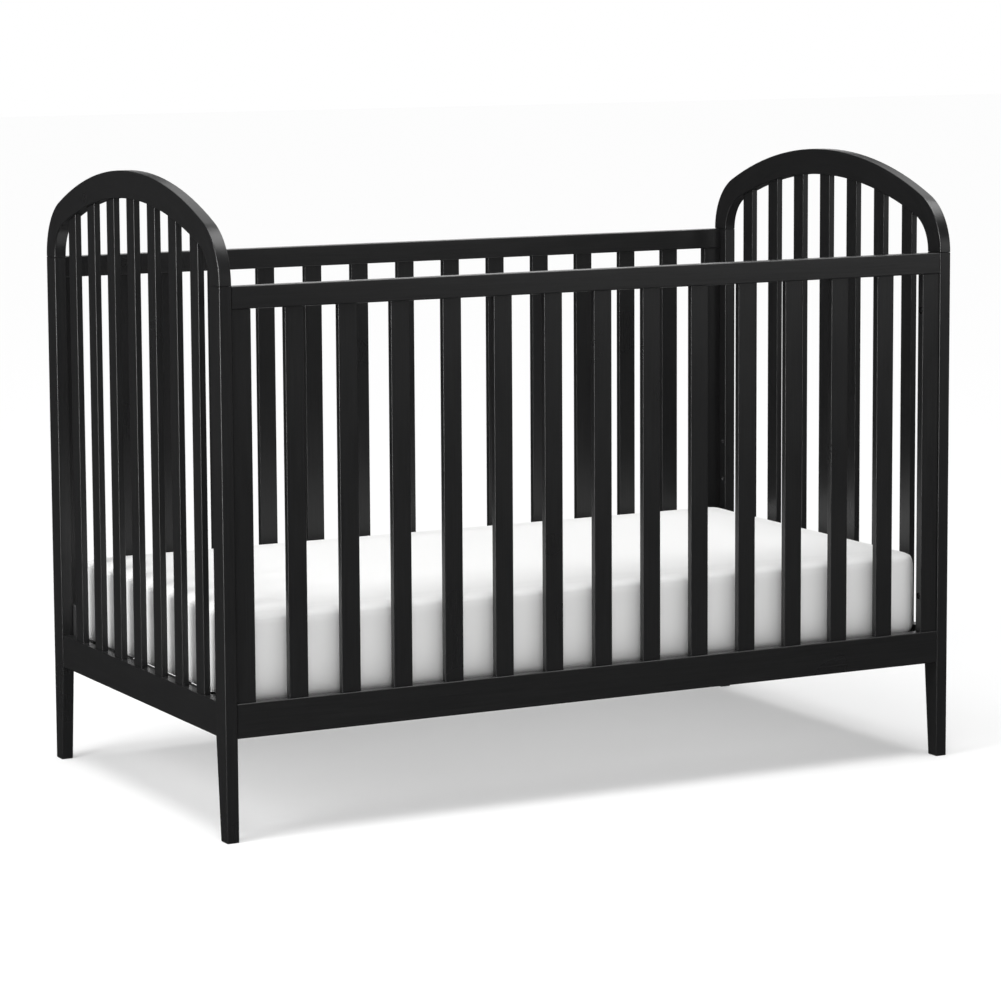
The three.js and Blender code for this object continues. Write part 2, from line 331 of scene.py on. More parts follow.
@dataclass(frozen=True)
class RoundOver:
    """How a board's edges are taken off."""

    long_edges: float = 0.003
    ends: float = 0.0006
    segments: int = 4


def bevel(bm: BMesh, edges: Iterable[BMEdge], radius: float, segments: int) -> None:
    """Rounds edges over.

    Args:
        bm: The mesh.
        edges: The edges to round.
        radius: How far the rounding reaches from each edge.
        segments: Its facets.
    """
    bmesh.ops.bevel(
        bm, geom=list(edges), offset=radius, offset_type="OFFSET", segments=segments, profile=0.5,
        affect="EDGES", material=-1, clamp_overlap=True,
    )


def at_level(edge: BMEdge, axis: int, level: float) -> bool:
    """Whether an edge lies in a plane square to an axis."""
    return all(abs(vert.co[axis] - level) < FLUSH for vert in edge.verts)


def block(low: Vector, high: Vector) -> BMesh:
    """A box between two corners."""
    bm = bmesh.new()
    bmesh.ops.create_cube(bm, size=1.0)
    bmesh.ops.scale(bm, vec=high - low, verts=bm.verts)
    bmesh.ops.translate(bm, vec=(low + high) / 2, verts=bm.verts)
    return bm


def board(low: Vector, high: Vector, along: int, cut: RoundOver) -> BMesh:
    """A board with its long edges rounded over and its ends eased.

    Args:
        low: Its lowest corner.
        high: Its highest corner.
        along: The axis that it is longest on.
        cut: How its edges are taken off.

    Returns:
        The board.
    """
    bm = block(low, high)
    half = (high - low)[along] / 2
    bevel(bm, [e for e in bm.edges if abs((e.verts[0].co - e.verts[1].co)[along]) > half],
          cut.long_edges, cut.segments)
    ease_ends(bm, along, (low[along], high[along]), cut.ends)
    return bm


def ease_ends(bm: BMesh, along: int, levels: Sequence[float], radius: float) -> None:
    """Takes the edges off the ends of a board.

    Args:
        bm: The board.
        along: The axis that it is longest on.
        levels: Where its ends are on that axis.
        radius: How much is taken off.
    """
    for level in levels:
        bevel(bm, [e for e in bm.edges if at_level(e, along, level)], radius, 2)


def rod(start: Vector, end: Vector, radius: float, sides: int) -> BMesh:
    """A round bar between two points, as a drill or a dowel."""
    way = end - start
    turned_to = way.to_track_quat("Z", "Y").to_matrix().to_4x4()
    bm = bmesh.new()
    bmesh.ops.create_cone(
        bm, cap_ends=True, segments=sides, radius1=radius, radius2=radius, depth=way.length,
        matrix=Matrix.Translation((start + end) / 2) @ turned_to,
    )
    return bm


def turned(profile: Sequence[tuple[float, float]], sides: int) -> BMesh:
    """A piece turned on a lathe round the X axis.

    Args:
        profile: Places along the axis with their radii. Where it starts and ends on the axis the
            piece is solid, and otherwise the profile closes on itself.
        sides: The facets of a full turn.

    Returns:
        The piece.
    """
    bm = bmesh.new()
    verts = [bm.verts.new((x, radius, 0)) for x, radius in profile]
    pairs = list(zip(verts, verts[1:]))
    if profile[0][1] > 0:
        pairs.append((verts[-1], verts[0]))
    edges = [bm.edges.new(pair) for pair in pairs]
    bmesh.ops.spin(bm, geom=verts + edges, cent=(0, 0, 0), axis=AXIS_X, dvec=(0, 0, 0),
                   angle=2 * math.pi, steps=sides, use_merge=True)
    bmesh.ops.remove_doubles(bm, verts=bm.verts, dist=FLUSH)
    bmesh.ops.recalc_face_normals(bm, faces=bm.faces)
    return bm


def gathered(solids: Iterable[BMesh]) -> BMesh:
    """Puts separate solids in one mesh, and frees them."""
    together = bmesh.new()
    for solid in solids:
        carrier = bpy.data.meshes.new("carrier")
        solid.to_mesh(carrier)
        solid.free()
        together.from_mesh(carrier)
        bpy.data.meshes.remove(carrier)
    return together


def moved_copy(solid: BMesh, matrix: Matrix) -> BMesh:
    """A copy of a solid, moved, with its faces still pointing out."""
    copy = solid.copy()
    bmesh.ops.transform(copy, matrix=matrix, verts=copy.verts)
    bmesh.ops.recalc_face_normals(copy, faces=copy.faces)
    return copy


def bench_object(bm: BMesh, name: str) -> bpy.types.Object:
    """Puts a mesh on the bench as an object, and frees it."""
    mesh = bpy.data.meshes.new(name)
    bm.to_mesh(mesh)
    bm.free()
    thing = bpy.data.objects.new(name, mesh)
    bpy.context.scene.collection.objects.link(thing)
    return thing


def made_solid(thing: bpy.types.Object) -> BMesh:
    """Takes an object off the bench as the mesh that its modifiers make of it."""
    graph = bpy.context.evaluated_depsgraph_get()
    mesh = bpy.data.meshes.new_from_object(thing.evaluated_get(graph))
    bm = bmesh.new()
    bm.from_mesh(mesh)
    old = thing.data
    bpy.data.objects.remove(thing)
    bpy.data.meshes.remove(old)
    bpy.data.meshes.remove(mesh)
    return bm


def carved(solid: BMesh, tools: Iterable[BMesh]) -> BMesh:
    """Cuts tools out of a solid.

    Args:
        solid: The solid.
        tools: What is cut away, none touching another.

    Returns:
        What is left.
    """
    blank, tool = bench_object(solid, "blank"), bench_object(gathered(tools), "tool")
    cut = blank.modifiers.new("cut", "BOOLEAN")
    cut.operation, cut.solver, cut.object = "DIFFERENCE", "EXACT", tool
    left = made_solid(blank)
    old = tool.data
    bpy.data.objects.remove(tool)
    bpy.data.meshes.remove(old)
    return left


def fitted(
    name: str, bm: BMesh, material: bpy.types.Material, body: Body, nodes: Sequence[str] = ()
) -> bpy.types.Object:
    """Turns a finished mesh into a piece of the crib.

    Args:
        name: The piece's name.
        bm: Its mesh, in place.
        material: Its finish.
        body: The body that it moves with.
        nodes: The plain solids that it stands for.

    Returns:
        The piece.
    """
    piece = bench_object(bm, name)
    piece.data.materials.clear()
    piece.data.materials.append(material)
    piece.data.shade_smooth()
    piece.data.set_sharp_from_angle(angle=SHARP_ANGLE)
    normals = piece.modifiers.new("flat faces stay flat", "WEIGHTED_NORMAL")
    normals.keep_sharp = True
    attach(piece, body.value)
    if nodes:
        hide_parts(*nodes)
    LOG.info("%s rides on %s, %d faces", name, body.value, len(piece.data.polygons))
    return piece


class Outline:
    """A closed outline in a plane square to X, drawn point by point and turn by turn."""

    def __init__(self, x: float, y: float, z: float) -> None:
        """Puts the pen down at a point."""
        self.bm = bmesh.new()
        self.first = self.pen = self.bm.verts.new((x, y, z))

    def line(self, y: float, z: float) -> None:
        """Draws a straight line to a point."""
        grown = bmesh.ops.extrude_vert_indiv(self.bm, verts=[self.pen])["verts"][0]
        grown.co = (self.pen.co.x, y, z)
        self.pen = grown

    def turn(self, y: float, z: float, angle: float, steps: int) -> None:
        """Draws an arc.

        Args:
            y: The centre's place across.
            z: The centre's height.
            angle: How far it turns, positive from +Y to +Z.
            steps: Its facets.
        """
        spun = bmesh.ops.spin(self.bm, geom=[self.pen], cent=(self.pen.co.x, y, z), axis=AXIS_X,
                              dvec=(0, 0, 0), angle=angle, steps=steps, use_merge=False)
        self.pen = next(item for item in spun["geom_last"] if isinstance(item, BMVert))

    def slab(self, thick: float) -> BMesh:
        """Closes the outline and makes a slab of it.

        Args:
            thick: Its thickness, towards +X.

        Returns:
            The slab.
        """
        self.bm.edges.new((self.pen, self.first))
        face = bmesh.ops.contextual_create(self.bm, geom=self.bm.edges[:])["faces"]
        grown = bmesh.ops.extrude_face_region(self.bm, geom=face)["geom"]
        verts = [item for item in grown if isinstance(item, BMVert)]
        bmesh.ops.translate(self.bm, vec=AXIS_X * thick, verts=verts)
        bmesh.ops.recalc_face_normals(self.bm, faces=self.bm.faces)
        return self.bm


def rounded_slab(outline: Outline, low: Vector, high: Vector, cut: RoundOver) -> BMesh:
    """A slab with its rims rounded over, all but those at its lowest and highest flat ends.

    Args:
        outline: Its outline, in the plane of its lowest x.
        low: Its lowest corner.
        high: Its highest corner, whose z may be past the slab where it has no flat top.
        cut: How its edges are taken off.

    Returns:
        The slab.
    """
    bm = outline.slab(high.x - low.x)
    rims = [e for e in bm.edges if at_level(e, 0, low.x) or at_level(e, 0, high.x)]
    ends = {e for e in rims if at_level(e, 2, low.z) or at_level(e, 2, high.z)}
    bevel(bm, [e for e in rims if e not in ends], cut.long_edges, cut.segments)
    return bm


# ---------------------------------------------------------------- wood


@dataclass
class Fixings:
    """Where the bolts and the threaded inserts sit in the posts and stiles."""

    lowest_insert: float = 0.262
    insert_pitch: float = 0.072
    insert_count: int = 4
    insert_radius: float = 0.0045
    insert_depth: float = 0.013
    bolt_from_rail: float = 0.063
    bolt_radius: float = 0.0033
    bolt_in_post: float = 0.014
    recess_radius: float = 0.006
    recess_depth: float = 0.009
    drill_sides: int = 24

    def insert_heights(self) -> list[float]:
        """Heights of the inserts, which are the heights that the mattress can be set to."""
        return [self.lowest_insert + i * self.insert_pitch for i in range(self.insert_count)]

    def bolt_heights(self) -> list[float]:
        """Heights of the bolts that hold a panel to a post."""
        low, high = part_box("front_bottom_rail")[1].z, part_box("front_top_rail")[0].z
        return [low + self.bolt_from_rail, high - self.bolt_from_rail]

    def bolt_y(self, row: str) -> float:
        """Where a panel's bolts run, in the middle of its rails."""
        low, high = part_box(f"{row}_top_rail")
        return (low.y + high.y) / 2

    def insert_y(self, row: str) -> float:
        """Where the inserts run, in the middle of the strip of post inside a panel."""
        rail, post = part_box(f"{row}_top_rail"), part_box(f"left_{row}_post")
        return (rail[1].y + post[1].y) / 2 if row == "front" else (rail[0].y + post[0].y) / 2


def slat_housings(nodes: Iterable[str]) -> list[BMesh]:
    """The room that each slat needs in the boards that it is let into."""
    play = Vector((GAP, GAP, GAP))
    boxes = [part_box(node) for node in nodes]
    return [block(low - play, high + play) for low, high in boxes]


@dataclass
class CribEnd:
    """One end of the crib: two posts, the arch, the bottom rail and the slats between them."""

    side: str
    fixings: Fixings
    paints: dict[Grain, bpy.types.Material]
    foot_width: float = 0.026
    foot_ease: float = 0.0015
    corner_height: float = 0.885
    corner_radius: float = 0.105
    crown_outside: float = 0.765
    crown_inside: float = 0.792
    corner_steps: int = 16
    crown_steps: int = 28
    slat_count: int = 7
    frame_cut: RoundOver = field(default_factory=lambda: RoundOver(long_edges=0.002, ends=0.001))
    slat_cut: RoundOver = field(default_factory=lambda: RoundOver(long_edges=0.0014, segments=3))

    def slats(self) -> list[str]:
        """The names of the slats' solids."""
        return [f"{self.side}_slat_{i}" for i in range(1, self.slat_count + 1)]

    def build(self) -> None:
        """Makes every board of this end."""
        self.add("arch", self.arch(), Grain.ROUND_THE_BOW)
        for row in ("front", "back"):
            self.add(f"{row}_post", self.post(row), Grain.ALONG_Z)
        self.add("bottom_rail", self.bottom_rail(), Grain.ALONG_Y)
        for number, node in enumerate(self.slats(), 1):
            self.add(f"slat_{number}", board(*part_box(node), 2, self.slat_cut), Grain.ALONG_Z)

    def add(self, part: str, bm: BMesh, grain: Grain) -> None:
        """Paints a board and fits it in place of its solid."""
        node = f"{self.side}_{part}"
        fitted(f"{node}_wood", bm, self.paints[grain], Body.CRIB, [node])

    def crown_centre(self, crown: float, corner: float) -> float:
        """Height of the centre of the crown's arc, which runs smoothly into both corner arcs."""
        return self.corner_height - math.sqrt((crown - corner) ** 2 - self.corner_y() ** 2)

    def corner_y(self) -> float:
        """How far out the centres of the corner arcs lie."""
        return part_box(f"{self.side}_arch")[1].y - self.corner_radius

    def arch_edge(self, outline: Outline, crown: float, corner: float, way: int) -> None:
        """Draws the arch's outer or inner edge.

        Args:
            outline: The outline so far.
            crown: The crown's radius.
            corner: The corners' radius.
            way: 1 from +Y to -Y, and -1 back.
        """
        centre, y = self.crown_centre(crown, corner), self.corner_y()
        turn = math.atan2(self.corner_height - centre, y)
        outline.line(way * (y + corner), self.corner_height)
        outline.turn(way * y, self.corner_height, way * turn, self.corner_steps)
        outline.turn(0, centre, way * (math.pi - 2 * turn), self.crown_steps)
        outline.turn(-way * y, self.corner_height, way * turn, self.corner_steps)

    def arch(self) -> BMesh:
        """The bow over the posts, with housings for the slats in its underside."""
        low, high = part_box(f"{self.side}_arch")
        post_low, post_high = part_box(f"{self.side}_front_post")
        width = post_high.y - post_low.y
        outline = Outline(low.x, high.y - width, low.z)
        outline.line(high.y, low.z)
        self.arch_edge(outline, self.crown_outside, self.corner_radius, 1)
        outline.line(low.y, low.z)
        outline.line(low.y + width, low.z)
        self.arch_edge(outline, self.crown_inside, self.corner_radius - width, -1)
        bm = rounded_slab(outline, low, high + AXIS_Z, self.frame_cut)
        ease_ends(bm, 2, [low.z], self.frame_cut.ends)
        return carved(bm, slat_housings(self.slats()))

    def post(self, row: str) -> BMesh:
        """A post with its tapered leg, and the holes for the inserts and the panel's bolts."""
        low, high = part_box(f"{self.side}_{row}_post")
        rail_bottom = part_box(f"{self.side}_bottom_rail")[0].z
        outer, inner = (low.y, high.y) if row == "front" else (high.y, low.y)
        foot = outer + math.copysign(self.foot_width, inner - outer)
        outline = Outline(low.x, outer, low.z)
        outline.line(foot, low.z)
        outline.line(inner, rail_bottom)
        outline.line(inner, high.z)
        outline.line(outer, high.z)
        bm = rounded_slab(outline, low, high, self.frame_cut)
        ease_ends(bm, 2, [high.z], self.frame_cut.ends)
        ease_ends(bm, 2, [low.z], self.foot_ease)
        fix = self.fixings
        into = 1 if self.side == "left" else -1
        face = high.x if self.side == "left" else low.x
        past = face + into * GAP
        holes = [(fix.insert_y(row), z, fix.insert_radius, fix.insert_depth) for z in fix.insert_heights()]
        holes += [(fix.bolt_y(row), z, fix.bolt_radius, fix.bolt_in_post) for z in fix.bolt_heights()]
        return carved(bm, [
            rod(Vector((past, y, z)), Vector((face - into * depth, y, z)), radius, fix.drill_sides)
            for y, z, radius, depth in holes
        ])

    def bottom_rail(self) -> BMesh:
        """The rail under the slats, with their housings in its top."""
        bm = board(*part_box(f"{self.side}_bottom_rail"), 1, self.slat_cut)
        return carved(bm, slat_housings(self.slats()))


@dataclass
class LongPanel:
    """The front or the back panel: two rails, two stiles and the slats."""

    row: str
    fixings: Fixings
    paints: dict[Grain, bpy.types.Material]
    slat_count: int = 13
    rail_cut: RoundOver = field(default_factory=lambda: RoundOver(long_edges=0.0018))
    slat_cut: RoundOver = field(default_factory=lambda: RoundOver(long_edges=0.0014, segments=3))

    def slats(self) -> list[str]:
        """The names of the slats' solids."""
        return [f"{self.row}_slat_{i:02d}" for i in range(1, self.slat_count + 1)]

    def build(self) -> None:
        """Makes every board of this panel."""
        for part in ("top_rail", "bottom_rail"):
            rail = board(*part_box(f"{self.row}_{part}"), 0, self.rail_cut)
            self.add(part, carved(rail, slat_housings(self.slats())), Grain.ALONG_X)
        for side in ("left", "right"):
            self.add(f"{side}_stile", self.stile(side), Grain.ALONG_Z)
        for node in self.slats():
            part = node.removeprefix(f"{self.row}_")
            self.add(part, board(*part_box(node), 2, self.slat_cut), Grain.ALONG_Z)

    def add(self, part: str, bm: BMesh, grain: Grain) -> None:
        """Paints a board and fits it in place of its solid."""
        node = f"{self.row}_{part}"
        fitted(f"{node}_wood", bm, self.paints[grain], Body.CRIB, [node])

    def stile(self, side: str) -> BMesh:
        """A stile with its bolt holes, each widened for the bolt's head away from the post."""
        low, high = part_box(f"{self.row}_{side}_stile")
        bm = board(low, high, 2, self.slat_cut)
        inner, outer = (high.x, low.x) if side == "left" else (low.x, high.x)
        out = math.copysign(1, outer - inner)
        fix = self.fixings
        y = (low.y + high.y) / 2
        tools = []
        for z in fix.bolt_heights():
            floor = inner + out * fix.recess_depth
            hole = rod(Vector((floor - out * GAP, y, z)), Vector((outer + out * GAP, y, z)),
                       fix.bolt_radius, fix.drill_sides)
            recess = rod(Vector((inner - out * GAP, y, z)), Vector((floor, y, z)),
                         fix.recess_radius, fix.drill_sides)
            bm = carved(bm, [recess])
            tools.append(hole)
        return carved(bm, tools)


# ---------------------------------------------------------------- fasteners


@dataclass
class Fasteners:
    """Threaded inserts, the bolts of the panels, and the bolts of the mattress support."""

    fixings: Fixings
    steel: bpy.types.Material
    enamel: bpy.types.Material
    play: float = 0.0002  # between a fastener and its hole
    insert_bore: float = 0.0026
    thread_pitch: float = 0.0012
    thread_depth: float = 0.0004
    thread_turns: int = 8
    shank_radius: float = 0.003
    head_radius: float = 0.005
    head_height: float = 0.0055
    cap_radius: float = 0.0062
    cap_height: float = 0.0028
    hex_radius: float = 0.0029
    hex_depth: float = 0.0026
    sides: int = 24

    def build(self) -> None:
        """Makes every fastener."""
        for side in ("left", "right"):
            for row in ("front", "back"):
                self.add_inserts(side, row)
        for row in ("front", "back"):
            self.add_panel_bolts(row)
        self.add_support_bolts()

    def insert(self) -> BMesh:
        """A threaded insert whose open end is at x = 0 and faces +X."""
        outer, deep = self.fixings.insert_radius - self.play, self.fixings.insert_depth - self.play
        ease = self.thread_depth
        profile = [(-ease, self.insert_bore), (0, self.insert_bore + ease), (0, outer - ease),
                   (-ease, outer), (-deep, outer), (-deep, self.insert_bore)]
        for i in range(self.thread_turns, 0, -1):
            crest = -ease - i * self.thread_pitch
            profile += [(crest, self.insert_bore), (crest + self.thread_pitch / 2, self.insert_bore + ease)]
        return turned(profile, self.sides)

    def bolt(self, radius: float, height: float, shank: float) -> BMesh:
        """A bolt with a hexagon socket, its head's seat at x = 0 and its head towards +X.

        Args:
            radius: The head's radius.
            height: The head's height.
            shank: The shank's length.

        Returns:
            The bolt.
        """
        ease = height / 5
        profile = [(-shank, 0), (-shank, self.shank_radius - self.thread_depth),
                   (self.thread_depth - shank, self.shank_radius), (0, self.shank_radius), (0, radius),
                   (height - ease, radius), (height, radius - ease), (height, 0)]
        socket = rod(Vector((height - self.hex_depth * 0.8, 0, 0)), Vector((height + GAP, 0, 0)), self.hex_radius, 6)
        return carved(turned(profile, self.sides), [socket])

    def add_inserts(self, side: str, row: str) -> None:
        """The inserts of one post, flush with its inner face."""
        low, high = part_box(f"{side}_{row}_post")
        face, turn = (high.x, 0) if side == "left" else (low.x, math.pi)
        master = self.insert()
        y = self.fixings.insert_y(row)
        copies = [
            moved_copy(master, Matrix.Translation((face, y, z)) @ Matrix.Rotation(turn, 4, "Z"))
            for z in self.fixings.insert_heights()
        ]
        master.free()
        fitted(f"{side}_{row}_post_inserts", gathered(copies), self.steel, Body.CRIB)

    def add_panel_bolts(self, row: str) -> None:
        """The bolts that hold a panel, heads sunk in its stiles."""
        fix = self.fixings
        copies = []
        for side, turn in (("left", 0), ("right", math.pi)):
            low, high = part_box(f"{row}_{side}_stile")
            inner = high.x if side == "left" else low.x
            out = -1 if side == "left" else 1
            seat = inner + out * (fix.recess_depth - self.play)
            post_low, post_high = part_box(f"{side}_{row}_post")
            post_face = post_high.x if side == "left" else post_low.x
            reach = abs(post_face + out * (fix.bolt_in_post - self.play) - seat)
            master = self.bolt(self.head_radius, self.head_height, reach)
            copies += [
                moved_copy(master, Matrix.Translation((seat, fix.bolt_y(row), z)) @ Matrix.Rotation(turn, 4, "Z"))
                for z in fix.bolt_heights()
            ]
            master.free()
        fitted(f"{row}_panel_bolts", gathered(copies), self.steel, Body.CRIB)

    def add_support_bolts(self) -> None:
        """The bolts of the mattress support, through the hanger plates."""
        low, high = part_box("support_frame")
        plate = HANGER_THICK
        master = self.bolt(self.cap_radius, self.cap_height, plate)
        copies = []
        for row in ("front", "back"):
            for x, turn in ((low.x + plate, 0), (high.x - plate, math.pi)):
                place = (x, self.fixings.insert_y(row), self.fixings.lowest_insert)
                copies.append(moved_copy(master, Matrix.Translation(place) @ Matrix.Rotation(turn, 4, "Z")))
        master.free()
        fitted("support_bolts", gathered(copies), self.enamel, Body.SUPPORT)


# ---------------------------------------------------------------- mattress support

HANGER_THICK = 0.0025


@dataclass
class MattressSupport:
    """A ring of steel angle with a hanger plate at each corner, and the wire deck on it."""

    fixings: Fixings
    steel: bpy.types.Material
    enamel: bpy.types.Material
    flange: float = 0.035
    wall: float = 0.002
    ring_height: float = 0.208
    ring_ease: float = 0.0006
    side_clearance: float = 0.0045
    hanger_width: float = 0.026
    hanger_shift: float = 0.005
    hanger_step: float = 0.003
    hanger_corner: float = 0.007
    wire_radius: float = 0.002
    wire_sides: int = 10
    bend_radius: float = 0.0035
    bend_steps: int = 4
    hook_drop: float = 0.0075
    long_wires: int = 7
    cross_wires: int = 14
    edge_room: float = 0.022  # from the outermost wires to the ends of those that they cross

    def build(self) -> None:
        """Makes the ring, the hanger plates and the deck."""
        wires = self.wires()
        ring = carved(self.ring(), [self.punch(point) for wire in wires for point in (wire[0], wire[-1])])
        fitted("support_ring", ring, self.steel, Body.SUPPORT, ["support_frame"])
        for side in ("left", "right"):
            for row in ("front", "back"):
                fitted(f"{side}_{row}_hanger", self.hanger(side, row), self.steel, Body.SUPPORT,
                       ["support_frame"])
        deck = gathered([self.bent_wire(wire[0], wire[-1]) for wire in wires])
        fitted("wire_deck", deck, self.enamel, Body.SUPPORT, ["spring_deck"])

    def ring(self) -> BMesh:
        """The ring: an angle section taken round four corners, then drawn out to its length."""
        low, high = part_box("support_frame")
        reach_x, reach_y = high.x - HANGER_THICK / 2, high.y
        top, bottom = self.ring_height, low.z
        section = [(0, bottom), (0, top), (-self.flange, top), (-self.flange, top - self.wall),
                   (-self.wall, top - self.wall), (-self.wall, bottom)]
        bm = bmesh.new()
        verts = [bm.verts.new((reach_y + r, reach_y + r, z)) for r, z in section]
        edges = [bm.edges.new((verts[i - 1], verts[i])) for i in range(len(verts))]
        bmesh.ops.spin(bm, geom=verts + edges, cent=(0, 0, 0), axis=AXIS_Z, dvec=(0, 0, 0),
                       angle=2 * math.pi, steps=4, use_merge=True)
        for sign in (-1, 1):
            half = [vert for vert in bm.verts if vert.co.x * sign > 0]
            bmesh.ops.translate(bm, vec=AXIS_X * sign * (reach_x - reach_y), verts=half)
        bmesh.ops.recalc_face_normals(bm, faces=bm.faces)
        bevel(bm, bm.edges[:], self.ring_ease, 2)
        return bm

    def hanger(self, side: str, row: str) -> BMesh:
        """A plate welded to a corner of the ring, with rounded upper corners and a bolt hole."""
        low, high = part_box("support_frame")
        y = self.fixings.insert_y(row)
        y -= math.copysign(self.hanger_shift, y)
        x0, x1 = (low.x, low.x + HANGER_THICK) if side == "left" else (high.x - HANGER_THICK, high.x)
        half = self.hanger_width / 2
        bm = block(Vector((x0, y - half, low.z + self.hanger_step)), Vector((x1, y + half, high.z)))
        corners = [e for e in bm.edges if abs((e.verts[0].co - e.verts[1].co).x) > HANGER_THICK / 2]
        bevel(bm, corners, self.hanger_corner, 6)
        bevel(bm, [e for e in bm.edges if at_level(e, 0, x0) or at_level(e, 0, x1)], self.ring_ease / 2, 2)
        hole_y = self.fixings.insert_y(row)
        z = self.fixings.lowest_insert
        return carved(bm, [rod(Vector((x0 - GAP, hole_y, z)), Vector((x1 + GAP, hole_y, z)),
                               self.fixings.bolt_radius, self.fixings.drill_sides)])

    def wires(self) -> list[tuple[Vector, Vector]]:
        """The middle of each wire's two ends, lengthwise wires first."""
        low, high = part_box("spring_deck")
        r = self.wire_radius
        reach = Vector((high.x - r, high.y - r, 0))
        inner = reach - Vector((self.edge_room, self.edge_room, 0))
        lengthwise = [-inner.y + i * 2 * inner.y / (self.long_wires - 1) for i in range(self.long_wires)]
        crosswise = [-inner.x + i * 2 * inner.x / (self.cross_wires - 1) for i in range(self.cross_wires)]
        found = [(Vector((-reach.x, y, low.z + r)), Vector((reach.x, y, low.z + r))) for y in lengthwise]
        found += [(Vector((x, -reach.y, high.z - r)), Vector((x, reach.y, high.z - r))) for x in crosswise]
        return found

    def punch(self, point: Vector) -> BMesh:
        """The hole in the ring that a wire's hook goes down through."""
        top, bottom = self.ring_height + GAP, self.ring_height - self.wall - GAP
        return rod(Vector((point.x, point.y, top)), Vector((point.x, point.y, bottom)), self.wire_radius + GAP, 16)

    def bent_wire(self, start: Vector, end: Vector) -> BMesh:
        """A wire whose ends turn down into hooks.

        Args:
            start: Where its first hook goes down.
            end: Where its other hook goes down.

        Returns:
            The wire.
        """
        way = (end - start).normalized()
        axis = AXIS_Z.cross(way)  # turns up to along, and along to down
        bottom = self.ring_height - self.hook_drop
        bm = bmesh.new()
        bmesh.ops.create_circle(bm, cap_ends=True, segments=self.wire_sides, radius=self.wire_radius,
                                matrix=Matrix.Translation((start.x, start.y, bottom)))
        rim = list(bm.edges)
        bend = self.bend_radius
        rim = self.drawn(bm, rim, AXIS_Z * (start.z - bend - bottom))
        rim = self.bent(bm, rim, start - AXIS_Z * bend + way * bend, axis)
        rim = self.drawn(bm, rim, end - start - way * 2 * bend)
        rim = self.bent(bm, rim, end - AXIS_Z * bend - way * bend, axis)
        rim = self.drawn(bm, rim, -AXIS_Z * (end.z - bend - bottom))
        bmesh.ops.contextual_create(bm, geom=rim)
        bmesh.ops.recalc_face_normals(bm, faces=bm.faces)
        return bm

    def drawn(self, bm: BMesh, rim: list[BMEdge], way: Vector) -> list[BMEdge]:
        """Draws a wire's open end out straight, and returns its new rim."""
        grown = bmesh.ops.extrude_edge_only(bm, edges=rim)["geom"]
        bmesh.ops.translate(bm, vec=way, verts=[item for item in grown if isinstance(item, BMVert)])
        return [item for item in grown if isinstance(item, BMEdge)]

    def bent(self, bm: BMesh, rim: list[BMEdge], centre: Vector, axis: Vector) -> list[BMEdge]:
        """Bends a wire's open end a quarter turn, and returns its new rim."""
        spun = bmesh.ops.spin(bm, geom=rim, cent=centre, axis=axis, dvec=(0, 0, 0), angle=math.pi / 2,
                              steps=self.bend_steps, use_merge=False)
        return [item for item in spun["geom_last"] if isinstance(item, BMEdge)]


# ---------------------------------------------------------------- mattress


@dataclass
class Mattress:
    """A foam core in a fitted woven cover, blown up from a smaller blank by cloth simulation."""

    cover: bpy.types.Material
    swell: float = 0.003  # how much smaller the blank is on each side, and how far it may swell
    corner: float = 0.026
    rim: float = 0.014
    under_rim: float = 0.002
    voxel: float = 0.010
    pressure: float = 4.0
    frames: int = 20
    fill: float = 0.9

    def build(self) -> None:
        """Makes the mattress."""
        low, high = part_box("mattress")
        blank = bench_object(self.blank(low, high), "mattress_cushion")
        remesh = blank.modifiers.new("even faces", "REMESH")
        remesh.mode, remesh.voxel_size = "VOXEL", self.voxel
        even = bench_object(made_solid(blank), "mattress_cushion")
        self.blow_up(even, low, high)
        even.data.materials.clear()
        even.data.materials.append(self.cover)
        even.data.shade_smooth()
        finer = even.modifiers.new("finer", "SUBSURF")
        finer.levels = finer.render_levels = 1
        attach(even, Body.MATTRESS.value)
        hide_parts("mattress")
        LOG.info("%s rides on %s, %d faces", even.name, Body.MATTRESS.value, len(even.data.polygons))

    def blank(self, low: Vector, high: Vector) -> BMesh:
        """The shape that the cover is blown up from, flat on the deck."""
        play = Vector((self.swell, self.swell, 0))
        low, high = low + play, high - play - AXIS_Z * self.swell
        bm = block(low, high)
        bevel(bm, [e for e in bm.edges if abs((e.verts[0].co - e.verts[1].co).z) > 0.01], self.corner, 8)
        bevel(bm, [e for e in bm.edges if at_level(e, 2, high.z)], self.rim, 6)
        bevel(bm, [e for e in bm.edges if at_level(e, 2, low.z)], self.under_rim, 3)
        return bm

    def blow_up(self, piece: bpy.types.Object, low: Vector, high: Vector) -> None:
        """Swells the cover like a stuffed bag, within the room that the mattress has.

        Args:
            piece: The blank, which is changed.
            low: The mattress's lowest corner.
            high: Its highest corner.
        """
        start = [vert.co.copy() for vert in piece.data.vertices]
        cloth = piece.modifiers.new("blow up", "CLOTH")
        settings = cloth.settings
        settings.quality = 5
        settings.tension_stiffness = settings.compression_stiffness = 12
        settings.use_pressure, settings.uniform_pressure_force = True, self.pressure
        settings.effector_weights.gravity = 0
        cloth.point_cache.frame_end = self.frames
        scene = bpy.context.scene
        for step in range(1, self.frames + 1):
            scene.frame_set(step)
        swollen = made_solid_points(piece)
        piece.modifiers.remove(cloth)
        scene.frame_set(1)
        for vert, was, now in zip(piece.data.vertices, start, swollen):
            step = now - was
            if step.length > self.swell:
                step *= self.swell / step.length
            co = was + step
            vert.co = [min(max(value, least), most) for value, least, most in zip(co, low, high)]
        piece.data.update()


def made_solid_points(thing: bpy.types.Object) -> list[Vector]:
    """Where an object's modifiers put its vertices."""
    graph = bpy.context.evaluated_depsgraph_get()
    return [vert.co.copy() for vert in thing.evaluated_get(graph).data.vertices]


# ---------------------------------------------------------------- studio


